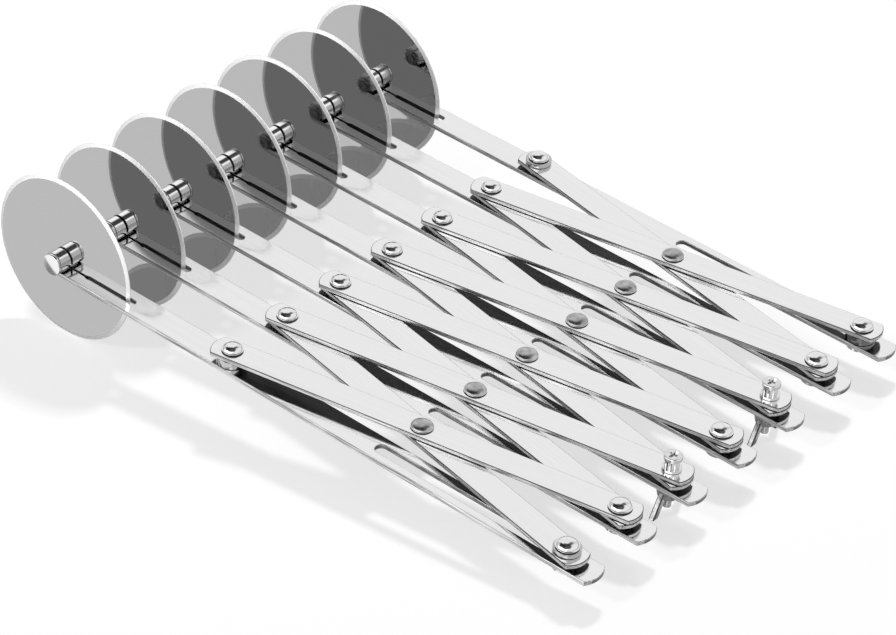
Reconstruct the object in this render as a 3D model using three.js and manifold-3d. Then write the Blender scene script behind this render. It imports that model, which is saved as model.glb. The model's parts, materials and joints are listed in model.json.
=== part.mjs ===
// Expanding pastry cutter: seven cutting wheels on parallel bars, spread by a lazy-tongs linkage.
// Millimetres, +Z up. The cutter stands on its wheels and on the tips of its two wing nuts.
// Bars and wheels are numbered from 1 at the low X side. The wheels point to +Y.

import * as THREE from 'three';
import { mergeVertices } from 'three/addons/utils/BufferGeometryUtils.js';
import Module from 'manifold-3d';

const wasm = await Module();
wasm.setup();

// Linkage
const BAR_COUNT = 7;
const LINK_SPAN = 128;
const REST_PITCH = 24;
const MIN_PITCH = 13;
const MAX_PITCH = 114;
const CLAMP_BARS = [3, 5];

// Wheel bars
const BAR_WIDTH = 9.6;
const BAR_THICKNESS = 1.5;
const BAR_TAIL = 10;
const BAR_END_RADIUS = 8;
const AXLE_REACH = 69;
const EYE_WRAP_DEGREES = 288;
const WHEEL_SLOT_WIDTH = 2.5;
const SLIT_LENGTH = 9;

// Links
const LINK_WIDTH = 9.2;
const LINK_THICKNESS = 1.4;
const LINK_OVERHANG = 6.5;
const LINK_END_RADIUS = 7;

// Wheels and axles
const WHEEL_DIAMETER = 55;
const WHEEL_THICKNESS = 1;
const WHEEL_EDGE_THICKNESS = 0.3;
const WHEEL_BEVEL = 1.3;
const AXLE_DIAMETER = 3.8;
const AXLE_CAP_DIAMETER = 7;
const AXLE_CAP_HEIGHT = 1;
const AXLE_CAP_CHAMFER = 0.3;
const AXLE_RIVET_DIAMETER = 5.4;
const AXLE_RIVET_HEIGHT = 0.7;
const AXLE_DIMPLE_DIAMETER = 2.4;
const AXLE_DIMPLE_DEPTH = 0.4;

// Rivets
const SHANK_DIAMETER = 3.6;
const COLLAR_DIAMETER = 6.4;
const COLLAR_HEIGHT = 1;
const FRONT_HEAD_DIAMETER = 6.6;
const FRONT_HEAD_HEIGHT = 1.9;
const FRONT_FOOT_DIAMETER = 6.6;
const FRONT_FOOT_HEIGHT = 1;
const CROSS_HEAD_DIAMETER = 7;
const CROSS_HEAD_HEIGHT = 1.4;
const CROSS_FOOT_DIAMETER = 5.4;
const CROSS_FOOT_HEIGHT = 0.6;
const REAR_HEAD_DIAMETER = 7.2;
const REAR_HEAD_HEIGHT = 2;
const REAR_FOOT_DIAMETER = 8;
const REAR_FOOT_HEIGHT = 1.3;
const HEAD_RIM = 0.5;

// End spacers and washers
const SPACER_DIAMETER = 9.4;
const WASHER_DIAMETER = 8.3;

// Clamp screws and wing nuts
const SCREW_HEAD_DIAMETER = 5.6;
const SCREW_HEAD_HEIGHT = 1.4;
const SCREW_HEAD_CROWN = 0.5;
const SCREW_NECK_DIAMETER = 4;
const SCREW_NECK_HEIGHT = 2.8;
const SCREW_WASHER_DIAMETER = 6;
const SCREW_WASHER_HEIGHT = 0.8;
const RECESS_SPAN = 3.6;
const RECESS_WIDTH = 0.9;
const RECESS_DEPTH = 1;
const SCREW_TAIL = 8;
const SCREW_POINT_DIAMETER = 2.6;
const SCREW_POINT_LENGTH = 3.2;
const NUT_BASE_DIAMETER = 8;
const NUT_TOP_DIAMETER = 6.4;
const NUT_BODY_HEIGHT = 4;
const WING_DROP = 9.4;
const WING_ROOT_DROP = 0.8;
const WING_INNER = 2.4;
const WING_OUTER = 7.4;
const WING_TIP_WIDTH = 2.4;
const WING_THICKNESS = 1.8;

// Clearances
const PIN_CLEARANCE = 0.15;
const SLOT_CLEARANCE = 0.2;
const LAYER_PLAY = 0.1;
const WHEEL_SIDE_PLAY = 0.3;
const WHEEL_SLOT_PLAY = 2;

// Facets
const WHEEL_FACETS = 40;
const PIN_FACETS = 12;
const ARC_STEPS = 5;
const DOME_STEPS = 3;
const MERGE_DISTANCE = 1e-4;

// Worked out sizes
const wheelRadius = WHEEL_DIAMETER / 2;
const shankRadius = SHANK_DIAMETER / 2;
const holeRadius = shankRadius + PIN_CLEARANCE;
const slotHalfWidth = shankRadius + SLOT_CLEARANCE;
const eyeInner = AXLE_DIAMETER / 2 + PIN_CLEARANCE;
const eyeOuter = eyeInner + BAR_THICKNESS;
const axleHeight = eyeInner;
const slitWidth = WHEEL_THICKNESS + 2 * WHEEL_SIDE_PLAY;
const slitEnd = AXLE_REACH - SLIT_LENGTH;
const wheelSlotEnd = AXLE_REACH - wheelRadius - WHEEL_SLOT_PLAY;
const reachAtPitch = (pitch) => Math.sqrt(LINK_SPAN ** 2 - pitch ** 2);
const rearReach = reachAtPitch(REST_PITCH);
const slotFront = -reachAtPitch(MAX_PITCH);
const slotRear = -reachAtPitch(MIN_PITCH);
const barRear = slotRear - BAR_TAIL;
const linkTurn = Math.asin(REST_PITCH / LINK_SPAN);
const barX = (number) => (number - (BAR_COUNT + 1) / 2) * REST_PITCH;

// Heights of the stacked layers above the top face of the bars
const collarBottom = LAYER_PLAY;
const lowerBottom = collarBottom + COLLAR_HEIGHT + LAYER_PLAY;
const upperBottom = lowerBottom + LINK_THICKNESS + LAYER_PLAY;
const headBottom = upperBottom + LINK_THICKNESS + LAYER_PLAY;
const footTop = -BAR_THICKNESS - LAYER_PLAY;

const steel = (color, roughness) => new THREE.MeshStandardMaterial({ color, roughness, metalness: 1 });
const finishes = {
  wheel: steel(0xc4c4c6, 0.05),
  bar: steel(0xdcdcde, 0.3),
  link: steel(0xe2e2e4, 0.28),
  rivet: steel(0xd0d0d2, 0.12),
  crossRivet: steel(0xbcbcbe, 0.35),
  axle: steel(0xcacacc, 0.15),
  washer: steel(0xcfcfd1, 0.2),
  screw: steel(0xc8c8ca, 0.2),
  wingNut: steel(0xb8b8ba, 0.35),
};

// Solids from closed geometry, and back
function toSolid(geometry) {
  const bare = geometry.clone();
  bare.deleteAttribute('normal');
  bare.deleteAttribute('uv');
  const merged = mergeVertices(bare, MERGE_DISTANCE);
  return new wasm.Manifold(new wasm.Mesh({
    numProp: 3,
    vertProperties: new Float32Array(merged.attributes.position.array),
    triVerts: new Uint32Array(merged.index.array),
  }));
}

function toGeometry(solid) {
  const mesh = solid.getMesh();
  const geometry = new THREE.BufferGeometry();
  geometry.setAttribute('position', new THREE.BufferAttribute(mesh.vertProperties, 3));
  geometry.setIndex(new THREE.BufferAttribute(mesh.triVerts, 1));
  geometry.computeVertexNormals();
  return geometry;
}

// A round piece about the Z axis. The profile runs from low to high as [radius, height] pairs.
function turned(profile, facets) {
  const points = profile.map(([radius, height]) => new THREE.Vector2(radius, height));
  return new THREE.LatheGeometry(points, facets).rotateX(Math.PI / 2);
}

// A flat piece cut from an outline, with its underside at the given height
function cutPlate(outline, thickness, bottom) {
  const settings = { depth: thickness, bevelEnabled: false, curveSegments: ARC_STEPS };
  return new THREE.ExtrudeGeometry(outline, settings).translate(0, 0, bottom);
}

// A flat piece cut from an outline in the Y and Z plane, centred on X = 0
function sidePlate(outline, width) {
  const axes = new THREE.Matrix4().makeBasis(
    new THREE.Vector3(0, 1, 0),
    new THREE.Vector3(0, 0, 1),
    new THREE.Vector3(1, 0, 0),
  );
  return cutPlate(outline, width, -width / 2).applyMatrix4(axes);
}

function roundHole(x, y, radius) {
  const hole = new THREE.Path();
  hole.absarc(x, y, radius, 0, 2 * Math.PI, true);
  return hole;
}

// Adds a shallow arc across the end of a strip, bulging away from the given side
function addEndArc(outline, halfWidth, endRadius, tipY, direction) {
  const centreY = tipY - direction * endRadius;
  const halfAngle = Math.asin(halfWidth / endRadius);
  const middle = direction * Math.PI / 2;
  outline.absarc(0, centreY, endRadius, middle - halfAngle, middle + halfAngle, false);
}

// Wheel bar: one strip, bent into an eye at the front and cut out in plan
function barSideOutline() {
  const start = -Math.PI / 2;
  const end = start + THREE.MathUtils.degToRad(EYE_WRAP_DEGREES);
  const outline = new THREE.Shape();
  outline.moveTo(barRear, 0);
  outline.lineTo(barRear, -BAR_THICKNESS);
  outline.lineTo(AXLE_REACH, -BAR_THICKNESS);
  outline.absarc(AXLE_REACH, axleHeight, eyeOuter, start, end, false);
  outline.absarc(AXLE_REACH, axleHeight, eyeInner, end, start, true);
  outline.lineTo(barRear, 0);
  return outline;
}

function barPlanOutline() {
  const front = AXLE_REACH + eyeOuter + BAR_THICKNESS;
  const halfWidth = BAR_WIDTH / 2;
  const halfSlot = WHEEL_SLOT_WIDTH / 2;
  const halfSlit = slitWidth / 2;
  const outline = new THREE.Shape();
  addEndArc(outline, halfWidth, BAR_END_RADIUS, barRear, -1);
  outline.lineTo(halfWidth, front);
  outline.lineTo(halfSlit, front);
  outline.lineTo(halfSlit, slitEnd);
  outline.lineTo(halfSlot, slitEnd - halfSlot);
  outline.absarc(0, wheelSlotEnd + halfSlot, halfSlot, 0, -Math.PI, true);
  outline.lineTo(-halfSlot, slitEnd - halfSlot);
  outline.lineTo(-halfSlit, slitEnd);
  outline.lineTo(-halfSlit, front);
  outline.lineTo(-halfWidth, front);
  outline.closePath();
  const slot = new THREE.Path();
  slot.absarc(0, slotRear, slotHalfWidth, 0, -Math.PI, true);
  slot.absarc(0, slotFront, slotHalfWidth, Math.PI, 0, true);
  outline.holes.push(slot, roundHole(0, 0, holeRadius));
  return outline;
}

function makeBar() {
  const bent = toSolid(sidePlate(barSideOutline(), BAR_WIDTH));
  const height = 2 * (axleHeight + eyeOuter);
  const plan = toSolid(cutPlate(barPlanOutline(), 2 * height, -height));
  return toGeometry(bent.intersect(plan));
}

// Link strip along -Y from its front hole, with the cross rivet hole at mid span
function makeLink() {
  const halfWidth = LINK_WIDTH / 2;
  const outline = new THREE.Shape();
  addEndArc(outline, halfWidth, LINK_END_RADIUS, -LINK_SPAN - LINK_OVERHANG, -1);
  addEndArc(outline, halfWidth, LINK_END_RADIUS, LINK_OVERHANG, 1);
  outline.closePath();
  for (const y of [0, -LINK_SPAN / 2, -LINK_SPAN]) {
    outline.holes.push(roundHole(0, y, holeRadius));
  }
  return cutPlate(outline, LINK_THICKNESS, 0);
}

// Cutting wheel about the X axis, thinned to a ground edge
function makeWheel() {
  const bore = AXLE_DIAMETER / 2 + PIN_CLEARANCE;
  const half = WHEEL_THICKNESS / 2;
  const halfEdge = WHEEL_EDGE_THICKNESS / 2;
  const flat = wheelRadius - WHEEL_BEVEL;
  const profile = [
    [bore, -half],
    [flat, -half],
    [wheelRadius, -halfEdge],
    [wheelRadius, halfEdge],
    [flat, half],
    [bore, half],
    [bore, -half],
  ];
  return turned(profile, WHEEL_FACETS).rotateY(Math.PI / 2);
}

// Wheel axle about the X axis, its cap on the low X side and its rolled end on the other
function makeAxle() {
  const pin = AXLE_DIAMETER / 2;
  const cap = AXLE_CAP_DIAMETER / 2;
  const seat = BAR_WIDTH / 2 + LAYER_PLAY;
  const capEnd = -seat - AXLE_CAP_HEIGHT;
  const rivetEnd = seat + AXLE_RIVET_HEIGHT;
  const profile = [
    [0, capEnd],
    [cap - AXLE_CAP_CHAMFER, capEnd],
    [cap, capEnd + AXLE_CAP_CHAMFER],
    [cap, -seat],
    [pin, -seat],
    [pin, seat],
    [AXLE_RIVET_DIAMETER / 2, seat],
    [(AXLE_RIVET_DIAMETER + AXLE_DIMPLE_DIAMETER) / 4, rivetEnd],
    [AXLE_DIMPLE_DIAMETER / 2, rivetEnd],
    [0, rivetEnd - AXLE_DIMPLE_DEPTH],
  ];
  return turned(profile, PIN_FACETS).rotateY(Math.PI / 2);
}

// Profile points of a domed head that rises from its rim to the axis
function domePoints(diameter, height, bottom) {
  const radius = diameter / 2;
  const rise = height - HEAD_RIM;
  const points = [[radius, bottom]];
  for (let step = 0; step < DOME_STEPS; step += 1) {
    const angle = step * Math.PI / 2 / DOME_STEPS;
    points.push([radius * Math.cos(angle), bottom + HEAD_RIM + rise * Math.sin(angle)]);
  }
  return [...points, [0, bottom + height]];
}

// Rivet with a domed head above the links, an optional collar on the bar and a foot underneath
function makeRivet({ head, headHeight, footUpper, foot, footHeight, collar }) {
  const shoulder = collar ? [
    [shankRadius, collarBottom],
    [COLLAR_DIAMETER / 2, collarBottom],
    [COLLAR_DIAMETER / 2, collarBottom + COLLAR_HEIGHT],
    [shankRadius, collarBottom + COLLAR_HEIGHT],
  ] : [];
  const profile = [
    [0, footUpper - footHeight],
    [foot / 2, footUpper - footHeight],
    [foot / 2, footUpper],
    [shankRadius, footUpper],
    ...shoulder,
    [shankRadius, headBottom],
    ...domePoints(head, headHeight, headBottom),
  ];
  return turned(profile, PIN_FACETS);
}

const makeFrontRivet = (collar) => makeRivet({
  head: FRONT_HEAD_DIAMETER,
  headHeight: FRONT_HEAD_HEIGHT,
  footUpper: footTop,
  foot: FRONT_FOOT_DIAMETER,
  footHeight: FRONT_FOOT_HEIGHT,
  collar,
});

const makeRearRivet = (collar) => makeRivet({
  head: REAR_HEAD_DIAMETER,
  headHeight: REAR_HEAD_HEIGHT,
  footUpper: footTop,
  foot: REAR_FOOT_DIAMETER,
  footHeight: REAR_FOOT_HEIGHT,
  collar,
});

const makeCrossRivet = () => makeRivet({
  head: CROSS_HEAD_DIAMETER,
  headHeight: CROSS_HEAD_HEIGHT,
  footUpper: lowerBottom - LAYER_PLAY,
  foot: CROSS_FOOT_DIAMETER,
  footHeight: CROSS_FOOT_HEIGHT,
  collar: false,
});

// Ring that fills a layer where only one link meets a pin
function makeRing(diameter, bottom, top) {
  const outer = diameter / 2;
  const profile = [
    [holeRadius, bottom],
    [outer, bottom],
    [outer, top],
    [holeRadius, top],
    [holeRadius, bottom],
  ];
  return turned(profile, PIN_FACETS);
}

// Clamp screw with a cross recess, a neck and a captive washer, the collar on the bar and a thinner tail end
function makeClampScrew() {
  const head = SCREW_HEAD_DIAMETER / 2;
  const neck = SCREW_NECK_DIAMETER / 2;
  const washer = SCREW_WASHER_DIAMETER / 2;
  const collar = COLLAR_DIAMETER / 2;
  const washerTop = headBottom + SCREW_WASHER_HEIGHT;
  const neckTop = washerTop + SCREW_NECK_HEIGHT;
  const headTop = neckTop + SCREW_HEAD_HEIGHT;
  const point = SCREW_POINT_DIAMETER / 2;
  const tailEnd = -BAR_THICKNESS - SCREW_TAIL;
  const profile = [
    [0, tailEnd],
    [point, tailEnd],
    [point, tailEnd + SCREW_POINT_LENGTH],
    [shankRadius, tailEnd + SCREW_POINT_LENGTH],
    [shankRadius, collarBottom],
    [collar, collarBottom],
    [collar, collarBottom + COLLAR_HEIGHT],
    [shankRadius, collarBottom + COLLAR_HEIGHT],
    [shankRadius, headBottom],
    [washer, headBottom],
    [washer, washerTop],
    [neck, washerTop],
    [neck, neckTop],
    [head, neckTop],
    [head, headTop - SCREW_HEAD_CROWN],
    [head - SCREW_HEAD_CROWN, headTop],
    [0, headTop],
  ];
  const recess = new THREE.BoxGeometry(RECESS_SPAN, RECESS_WIDTH, 2 * RECESS_DEPTH).translate(0, 0, headTop);
  const crossing = recess.clone().rotateZ(Math.PI / 2);
  const cut = toSolid(recess).add(toSolid(crossing));
  return toGeometry(toSolid(turned(profile, PIN_FACETS)).subtract(cut));
}

// Wing nut hanging from z = 0, its slanting wings along X
function makeWingNut() {
  const body = turned([
    [holeRadius, -NUT_BODY_HEIGHT],
    [NUT_TOP_DIAMETER / 2, -NUT_BODY_HEIGHT],
    [NUT_BASE_DIAMETER / 2, 0],
    [holeRadius, 0],
    [holeRadius, -NUT_BODY_HEIGHT],
  ], PIN_FACETS);
  const tipInner = WING_OUTER - WING_TIP_WIDTH;
  const lean = (tipInner - WING_INNER) / (WING_DROP - NUT_BODY_HEIGHT);
  const wing = new THREE.Shape();
  wing.moveTo(WING_INNER, -WING_ROOT_DROP);
  wing.lineTo(WING_INNER, -NUT_BODY_HEIGHT);
  wing.lineTo(tipInner, -WING_DROP);
  wing.lineTo(WING_OUTER, -WING_DROP);
  wing.lineTo(WING_OUTER - lean * (WING_DROP - WING_ROOT_DROP), -WING_ROOT_DROP);
  wing.closePath();
  const blade = cutPlate(wing, WING_THICKNESS, -WING_THICKNESS / 2).rotateX(Math.PI / 2);
  const otherBlade = blade.clone().rotateZ(Math.PI);
  return toGeometry(toSolid(body).add(toSolid(blade)).add(toSolid(otherBlade)));
}

// The cutter level, with the front pivots at y = 0 and the top faces of the bars at z = 0
const level = new THREE.Group();

function place(name, geometry, material, position, turn = 0) {
  const mesh = new THREE.Mesh(geometry, material);
  mesh.name = name;
  mesh.position.set(...position);
  mesh.rotation.z = turn;
  level.add(mesh);
}

function placeBars() {
  const bar = makeBar();
  const wheel = makeWheel();
  const axle = makeAxle();
  for (let number = 1; number <= BAR_COUNT; number += 1) {
    const x = barX(number);
    place(`wheel_bar_${number}`, bar, finishes.bar, [x, 0, 0]);
    place(`cutting_wheel_${number}`, wheel, finishes.wheel, [x, AXLE_REACH, axleHeight]);
    place(`wheel_axle_${number}`, axle, finishes.axle, [x, AXLE_REACH, axleHeight]);
    place(`front_rivet_${number}`, makeFrontRivet(number > 1), finishes.rivet, [x, 0, 0]);
  }
}

function placeLinks() {
  const link = makeLink();
  const crossRivet = makeCrossRivet();
  for (let number = 1; number < BAR_COUNT; number += 1) {
    const x = barX(number);
    const middle = [x + REST_PITCH / 2, -rearReach / 2, 0];
    place(`upper_link_${number}`, link, finishes.link, [x, 0, upperBottom], linkTurn);
    place(`lower_link_${number}`, link, finishes.link, [x + REST_PITCH, 0, lowerBottom], -linkTurn);
    place(`cross_rivet_${number}`, crossRivet, finishes.crossRivet, middle);
  }
}

function placeRearPins() {
  const screw = makeClampScrew();
  const nut = makeWingNut();
  for (let number = 1; number <= BAR_COUNT; number += 1) {
    const x = barX(number);
    if (CLAMP_BARS.includes(number)) {
      place(`clamp_screw_${number}`, screw, finishes.screw, [x, -rearReach, 0]);
      place(`wing_nut_${number}`, nut, finishes.wingNut, [x, -rearReach, footTop]);
    } else {
      place(`rear_rivet_${number}`, makeRearRivet(number < BAR_COUNT), finishes.rivet, [x, -rearReach, 0]);
    }
  }
}

function placeEndRings() {
  const first = barX(1);
  const last = barX(BAR_COUNT);
  const lowLayer = makeRing(SPACER_DIAMETER, collarBottom, upperBottom - LAYER_PLAY);
  const highLayer = makeRing(WASHER_DIAMETER, upperBottom, headBottom - LAYER_PLAY);
  place('front_spacer_1', lowLayer, finishes.washer, [first, 0, 0]);
  place(`front_washer_${BAR_COUNT}`, highLayer, finishes.washer, [last, 0, 0]);
  place('rear_washer_1', highLayer, finishes.washer, [first, -rearReach, 0]);
  place(`rear_spacer_${BAR_COUNT}`, lowLayer, finishes.washer, [last, -rearReach, 0]);
}

placeBars();
placeLinks();
placeRearPins();
placeEndRings();

// Tilt that brings the wheels and the wing tips onto one floor
const run = AXLE_REACH + rearReach + WING_THICKNESS / 2;
const rise = axleHeight - (footTop - WING_DROP);
level.rotation.x = Math.asin(wheelRadius / Math.hypot(run, rise)) - Math.atan2(rise, run);

// Origin under the middle of the whole cutter, on the floor
const cutter = new THREE.Group();
cutter.add(level);
cutter.updateMatrixWorld(true);
const box = new THREE.Box3().setFromObject(cutter, true);
level.position.set(-(box.min.x + box.max.x) / 2, -(box.min.y + box.max.y) / 2, -box.min.z);

export default cutter;
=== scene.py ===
"""Studio scene of an expanding pastry cutter with seven wheels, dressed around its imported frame.

Every piece is modelled in millimetres in the level of the bars: X across the bars, Y along them
towards the wheels and Z up from their top faces, with the middle front pivot at the origin. The
finished mesh is then carried into the frame, in metres.
"""

import json
import logging
import math
from dataclasses import dataclass
from enum import Enum
from typing import Any, Callable, Iterable, Sequence

import bmesh
import bpy
from bmesh.types import BMEdge, BMFace, BMVert
from mathutils import Matrix, Vector


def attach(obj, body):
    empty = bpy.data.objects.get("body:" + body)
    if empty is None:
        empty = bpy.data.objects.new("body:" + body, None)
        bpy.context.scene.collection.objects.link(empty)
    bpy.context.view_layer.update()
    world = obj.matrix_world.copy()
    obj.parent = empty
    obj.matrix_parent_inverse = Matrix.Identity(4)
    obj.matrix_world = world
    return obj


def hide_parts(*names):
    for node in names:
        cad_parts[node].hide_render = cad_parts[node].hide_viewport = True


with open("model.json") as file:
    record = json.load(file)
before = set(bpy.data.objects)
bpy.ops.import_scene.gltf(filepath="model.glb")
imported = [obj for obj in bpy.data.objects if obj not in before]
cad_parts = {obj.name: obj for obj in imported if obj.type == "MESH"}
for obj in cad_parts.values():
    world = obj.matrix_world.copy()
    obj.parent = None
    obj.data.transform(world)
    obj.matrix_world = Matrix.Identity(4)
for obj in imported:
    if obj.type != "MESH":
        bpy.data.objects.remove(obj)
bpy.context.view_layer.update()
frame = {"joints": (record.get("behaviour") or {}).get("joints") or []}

LOG = logging.getLogger("pastry_cutter")
MM = 0.001
FULL_TURN = 2 * math.pi
BAR_COUNT = 7
MIDDLE_BAR = 4
BAR_NUMBERS = range(1, BAR_COUNT + 1)
LINK_NUMBERS = range(1, BAR_COUNT)
CLAMP_BARS = (3, 5)
PHOTO_WIDTH = 896
NOISE_RANGE = (0.3, 0.7)
MARK_DETAIL = 3.0
RING_DETAIL = 2.0
SMUDGE_SCALE = 45.0
SMUDGE_DETAIL = 3.0
FLAT_SLOPE = 0.97
EDGE_SLOPE = 0.2
MERGE_GAP = 1e-4
NECK_GAP = 1e-3

Point = tuple[float, float]


class Grain(Enum):
    """The way the fine marks of a finish run."""

    STREAKS = "along the strip"
    RINGS = "round the wheel axles"
    SPECKS = "in no direction"


class Face(Enum):
    """The kinds of surface that a piece has, as material indices."""

    BROAD = 0
    EDGE = 1
    UNDER = 2
    CORNER = 3
    WALL = 4
    EYE = 5


# The frame


@dataclass(frozen=True)
class Linkage:
    """Where the pins of the cutter lie at rest, measured from the joints of the frame."""

    to_frame: Matrix
    pitch: float
    rear_reach: float
    axle_reach: float
    axle_height: float
    closest_pitch: float = 13.0
    widest_pitch: float = 114.0

    @classmethod
    def from_joints(cls, joints: Sequence[dict[str, Any]]) -> "Linkage":
        """Measures the linkage.

        Args:
            joints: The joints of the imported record, with their places in metres.

        Returns:
            The linkage, in millimetres in the level of the bars.
        """
        by_name = {joint["name"]: joint for joint in joints}
        fold = by_name["fold"]
        up = Vector(fold["axis"])
        across = Vector((1, 0, 0))
        axes = Matrix((across, up.cross(across), up)).transposed().to_4x4()
        to_frame = Matrix.Translation(fold["pos_m"]) @ axes @ Matrix.Scale(MM, 4)
        to_level = to_frame.inverted()
        axle = to_level @ Vector(by_name[f"wheel_{MIDDLE_BAR}_spin"]["pos_m"])
        neighbour = to_level @ Vector(by_name[f"bar_{MIDDLE_BAR + 1}_pivot"]["pos_m"])
        clamp = to_level @ Vector(by_name[f"wing_nut_{CLAMP_BARS[0]}_turn"]["pos_m"])
        return cls(to_frame, neighbour.x, -clamp.y, axle.y, axle.z)

    @property
    def span(self) -> float:
        """Length of a link between its end pins."""
        return math.hypot(self.pitch, self.rear_reach)

    @property
    def link_turn(self) -> float:
        """Angle between a link and the bars, in radians."""
        return math.atan2(self.pitch, self.rear_reach)

    def reach_at(self, pitch: float) -> float:
        """Distance from front pivot to rear pin at another pitch of the bars."""
        return math.sqrt(self.span ** 2 - pitch ** 2)

    def bar_x(self, number: float) -> float:
        """Place of a bar across the cutter."""
        return (number - MIDDLE_BAR) * self.pitch

    def front_pin(self, number: int) -> Matrix:
        """Place of a front pivot."""
        return Matrix.Translation((self.bar_x(number), 0, 0))

    def rear_pin(self, number: int) -> Matrix:
        """Place of a rear pin."""
        return Matrix.Translation((self.bar_x(number), -self.rear_reach, 0))

    def crossing(self, number: int) -> Matrix:
        """Place of the rivet where an upper and a lower link cross."""
        return Matrix.Translation((self.bar_x(number + 0.5), -self.rear_reach / 2, 0))

    def axle(self, number: int) -> Matrix:
        """Place of a wheel axle, with Z turned along it to high X."""
        place = Matrix.Translation((self.bar_x(number), self.axle_reach, self.axle_height))
        return place @ Matrix.Rotation(math.pi / 2, 4, "Y")

    def upper_link(self, number: int) -> Matrix:
        """Place of an upper link, at its front pin."""
        return self.front_pin(number) @ Matrix.Rotation(self.link_turn, 4, "Z")

    def lower_link(self, number: int) -> Matrix:
        """Place of a lower link, at its front pin."""
        return self.front_pin(number + 1) @ Matrix.Rotation(-self.link_turn, 4, "Z")


@dataclass(frozen=True)
class Layers:
    """Heights of the stacked layers above the top faces of the bars."""

    play: float = 0.1
    bar: float = 1.5
    collar: float = 1.0
    link: float = 1.4

    @property
    def lower_link(self) -> float:
        """Underside of the lower links."""
        return self.collar + 2 * self.play

    @property
    def upper_link(self) -> float:
        """Underside of the upper links."""
        return self.lower_link + self.link + self.play

    @property
    def head(self) -> float:
        """Seat of the rivet and screw heads."""
        return self.upper_link + self.link + self.play

    @property
    def foot(self) -> float:
        """Seat of the rivet feet and the wing nuts under the bars."""
        return -self.bar - self.play


# Mesh making


def spin(
    bm: bmesh.types.BMesh,
    geom: Sequence[Any],
    centre: Sequence[float],
    axis: Sequence[float],
    angle: float,
    steps: int,
    climb: float = 0.0,
) -> dict[str, Any]:
    """Spins part of a mesh about an axis, and closes a full turn that does not climb.

    Args:
        bm: The mesh.
        geom: The vertices, edges and faces to spin.
        centre: A point on the axis.
        axis: Direction of the axis.
        angle: The whole turn, in radians.
        steps: Number of copies.
        climb: Rise of each copy above the one before.

    Returns:
        What the operator made.
    """
    return bmesh.ops.spin(
        bm,
        geom=geom,
        cent=centre,
        axis=axis,
        dvec=(0, 0, climb),
        angle=angle,
        steps=steps,
        use_merge=angle == FULL_TURN and climb == 0,
    )


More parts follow.
